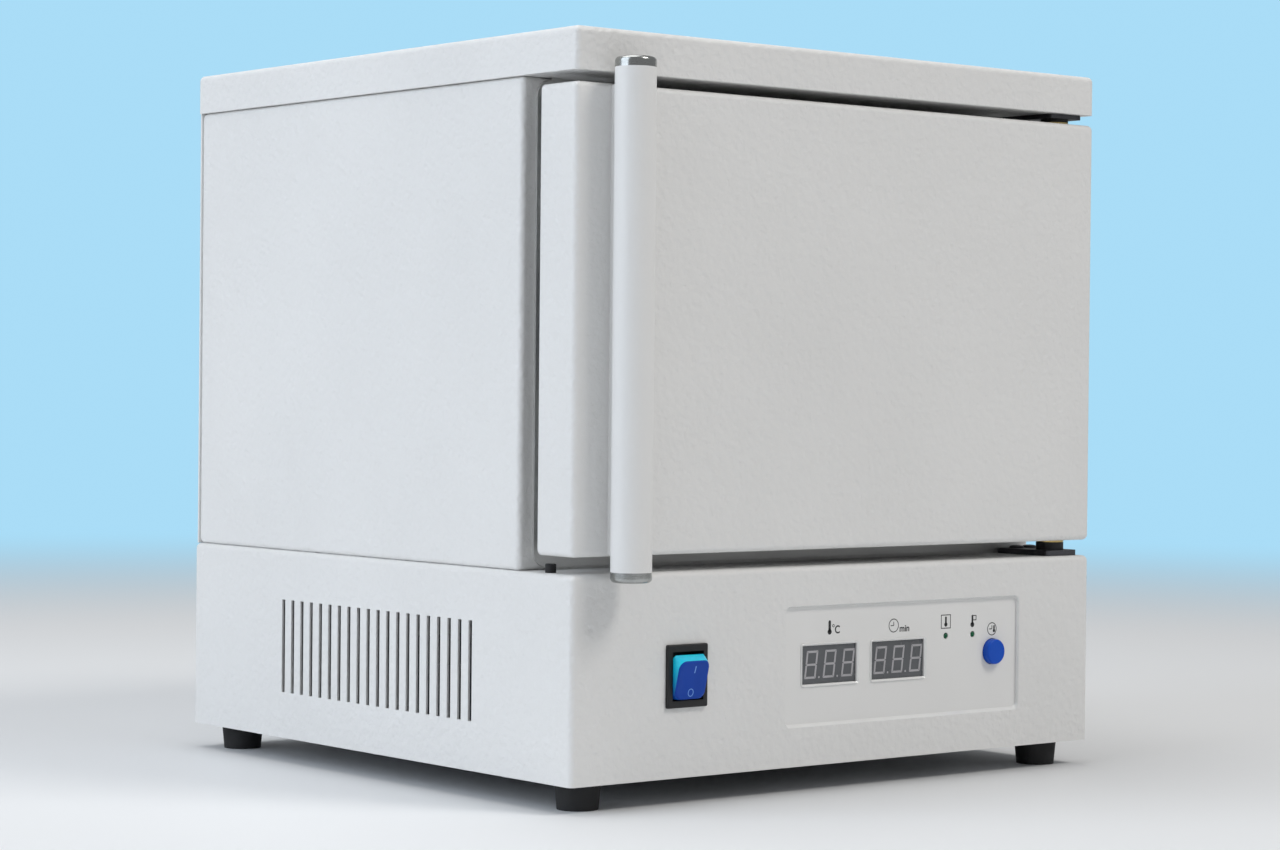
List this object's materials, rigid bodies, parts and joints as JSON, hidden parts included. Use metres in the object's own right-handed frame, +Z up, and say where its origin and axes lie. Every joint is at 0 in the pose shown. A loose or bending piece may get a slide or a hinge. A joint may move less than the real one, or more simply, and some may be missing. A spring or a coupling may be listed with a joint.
{
  "type": "hot air sterilizer",
  "caption": "Bench-top hot air sterilizer: insulated oven on a control base, side-hung door with a full-height bar handle, trays on racks, rocker switch and push button.",
  "frame": {"origin": "on the standing surface, under the middle of the whole outline", "axes": "+Z up, the front with the door and the control panel faces -Y, +X to the right seen from the front"},
  "size_m": [0.3586, 0.372, 0.376],
  "materials": {
    "white_powder_coat": "fine textured powder coat",
    "black_rubber": "matt",
    "zinc_screw": "zinc plated",
    "zinc_sheet": "zinc plated sheet",
    "panel_film": "satin",
    "display_window": "smoked, glossy",
    "green_lens": "diffuse",
    "blue_button": "satin",
    "blue_rocker": "translucent, glossy",
    "black_plastic": "matt",
    "grey_plastic": "matt",
    "white_plastic": "matt",
    "circuit_board": "solder mask",
    "brass": "turned",
    "steel_core": "varnished laminations",
    "stainless_sheet": "brushed stainless",
    "element_sheath": "heat tinted",
    "mineral_wool": "fibrous",
    "silicone_seal": "matt silicone",
    "chrome_cap": "polished",
    "dark_steel": "blackened",
    "magnet_block": "matt"
  },
  "bodies": {
    "cabinet": {"rubber_feet": "black_rubber", "foot_screws": "zinc_screw", "base_plate": "zinc_sheet", "base_plate_screws": "zinc_screw", "base_housing": "white_powder_coat", "control_panel": "panel_film", "panel_nuts": "zinc_screw", "temperature_display": "display_window", "timer_display": "display_window", "indicator_lamps": "green_lens", "button_switch": "black_plastic", "control_board": "circuit_board", "board_standoffs": "brass", "switch_housing": "black_plastic", "mains_inlet": "black_plastic", "inlet_pins": "brass", "inlet_screws": "zinc_screw", "power_transformer": "steel_core", "heater_relay": "grey_plastic", "terminal_block": "white_plastic", "left_side_panel": "white_powder_coat", "right_side_panel": "white_powder_coat", "rear_panel": "white_powder_coat", "rear_panel_screws": "zinc_screw", "top_cover": "white_powder_coat", "cover_screws": "zinc_screw", "upper_front_rail": "white_powder_coat", "lower_front_rail": "white_powder_coat", "chamber_front_frame": "stainless_sheet", "chamber_liner": "stainless_sheet", "chamber_insulation": "mineral_wool", "heating_element": "element_sheath", "element_terminals": "zinc_screw", "element_nuts": "brass", "floor_grille": "stainless_sheet", "left_tray_rack": "stainless_sheet", "right_tray_rack": "stainless_sheet", "temperature_probe": "stainless_sheet", "overheat_cutout": "brass", "upper_hinge_plate": "dark_steel", "lower_hinge_plate": "dark_steel", "hinge_plate_screws": "dark_steel", "hinge_collars": "black_plastic", "catch_magnet": "magnet_block", "door_rest": "black_rubber"},
    "door": {"door_shell": "white_powder_coat", "door_insulation": "mineral_wool", "door_inner_panel": "stainless_sheet", "inner_panel_screws": "zinc_screw", "door_gasket": "silicone_seal", "handle_bar": "white_powder_coat", "handle_caps": "chrome_cap", "handle_screws": "zinc_screw", "hinge_bushes": "brass", "catch_strike": "zinc_sheet"},
    "rocker": {"power_rocker": "blue_rocker"},
    "button": {"timer_button": "blue_button"},
    "tray_below": {"lower_tray": "stainless_sheet"},
    "tray_above": {"upper_tray": "stainless_sheet"}
  },
  "joints": [
    {"name": "door_hinge", "type": "hinge", "parent": "cabinet", "child": "door", "pos_m": [0.16225, -0.1484, 0.2363], "axis": [0, 0, 1], "range_deg": [0, 180]},
    {"name": "power_rocker_pivot", "type": "hinge", "parent": "cabinet", "child": "rocker", "pos_m": [-0.10845, -0.1602, 0.0635], "axis": [-1, 0, 0], "range_deg": [0, 28]},
    {"name": "timer_button_press", "type": "slide", "parent": "cabinet", "child": "button", "axis": [0, 1, 0], "range_m": [0, 0.0015], "stiffness_N_per_m": 600, "springref_m": -0.001},
    {"name": "lower_tray_slide", "type": "slide", "parent": "cabinet", "child": "tray_below", "axis": [0, -1, 0], "range_m": [0, 0.03]},
    {"name": "upper_tray_slide", "type": "slide", "parent": "cabinet", "child": "tray_above", "axis": [0, -1, 0], "range_m": [0, 0.03]}
  ]
}
